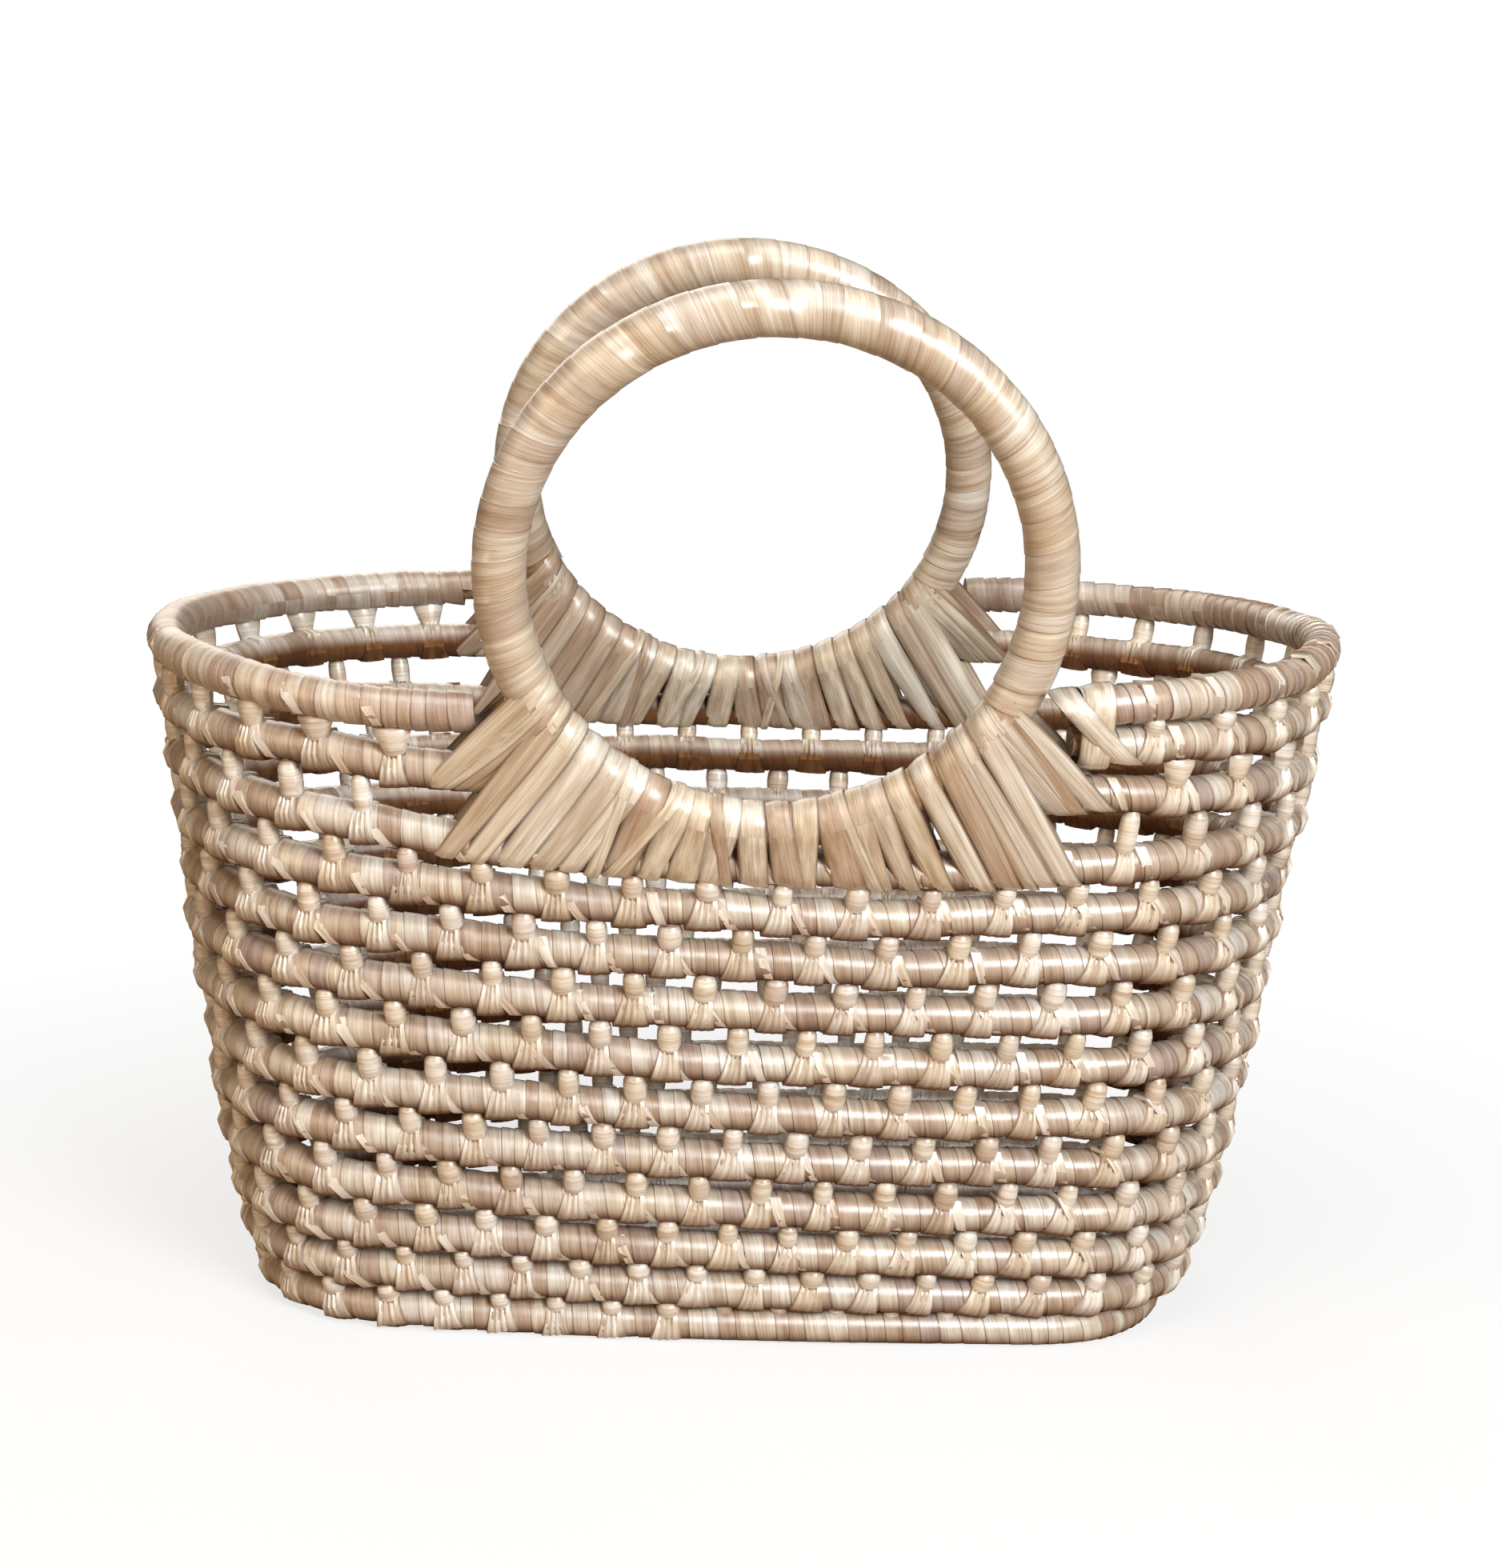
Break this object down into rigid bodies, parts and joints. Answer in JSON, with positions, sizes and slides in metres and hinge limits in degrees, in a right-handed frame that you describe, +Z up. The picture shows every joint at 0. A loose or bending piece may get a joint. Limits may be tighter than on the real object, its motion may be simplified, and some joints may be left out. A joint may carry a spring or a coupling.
{
  "type": "coiled basket",
  "caption": "Oval open-work coiled palm-leaf basket: wrapped rows held apart by knot stitches, with tilting ring handles lashed to the rim by fans of leaf straps.",
  "frame": {"origin": "middle of the base, on the surface that the basket stands on", "axes": "+X along the basket's length, -Y its front, +Z up"},
  "size_m": [0.3644, 0.2292, 0.3313],
  "materials": {
    "coil_leaf": "satin dried palm leaf",
    "core_fibre": "matt fibre bundle",
    "stitch_leaf": "satin dried palm leaf",
    "strap_leaf": "satin dried palm leaf",
    "grip_leaf": "polished dried palm leaf",
    "cane": "bare bent cane"
  },
  "bodies": {
    "basket": {"rim_right_wrapping": "coil_leaf", "rim_left_wrapping": "coil_leaf", "second_row_right_wrapping": "coil_leaf", "second_row_left_wrapping": "coil_leaf", "row_03_wrapping": "coil_leaf", "row_04_wrapping": "coil_leaf", "row_05_wrapping": "coil_leaf", "row_06_wrapping": "coil_leaf", "row_07_wrapping": "coil_leaf", "row_08_wrapping": "coil_leaf", "row_09_wrapping": "coil_leaf", "row_10_wrapping": "coil_leaf", "row_11_wrapping": "coil_leaf", "row_12_wrapping": "coil_leaf", "row_13_wrapping": "coil_leaf", "base_wrapping": "coil_leaf", "rim_right_core": "core_fibre", "rim_left_core": "core_fibre", "second_row_right_core": "core_fibre", "second_row_left_core": "core_fibre", "row_03_core": "core_fibre", "row_04_core": "core_fibre", "row_05_core": "core_fibre", "row_06_core": "core_fibre", "row_07_core": "core_fibre", "row_08_core": "core_fibre", "row_09_core": "core_fibre", "row_10_core": "core_fibre", "row_11_core": "core_fibre", "row_12_core": "core_fibre", "row_13_core": "core_fibre", "base_core": "core_fibre", "stitches_01": "stitch_leaf", "stitches_02": "stitch_leaf", "stitches_03": "stitch_leaf", "stitches_04": "stitch_leaf", "stitches_05": "stitch_leaf", "stitches_06": "stitch_leaf", "stitches_07": "stitch_leaf", "stitches_08": "stitch_leaf", "stitches_09": "stitch_leaf", "stitches_10": "stitch_leaf", "stitches_11": "stitch_leaf", "stitches_12": "stitch_leaf", "base_stitches": "stitch_leaf", "front_lashing": "strap_leaf", "back_lashing": "strap_leaf", "end_binding": "strap_leaf"},
    "front_handle": {"front_hoop": "cane", "front_grip": "grip_leaf"},
    "back_handle": {"back_hoop": "cane", "back_grip": "grip_leaf"}
  },
  "joints": [
    {"name": "front_handle_tilt", "type": "hinge", "parent": "basket", "child": "front_handle", "pos_m": [0.004, -0.08457, 0.15698], "axis": [-1, 0, 0], "range_deg": [-6, 41], "deforming": ["front_lashing"]},
    {"name": "back_handle_tilt", "type": "hinge", "parent": "basket", "child": "back_handle", "pos_m": [-0.001, 0.08647, 0.1724], "axis": [1, 0, 0], "range_deg": [-32, 7], "deforming": ["back_lashing"]}
  ]
}
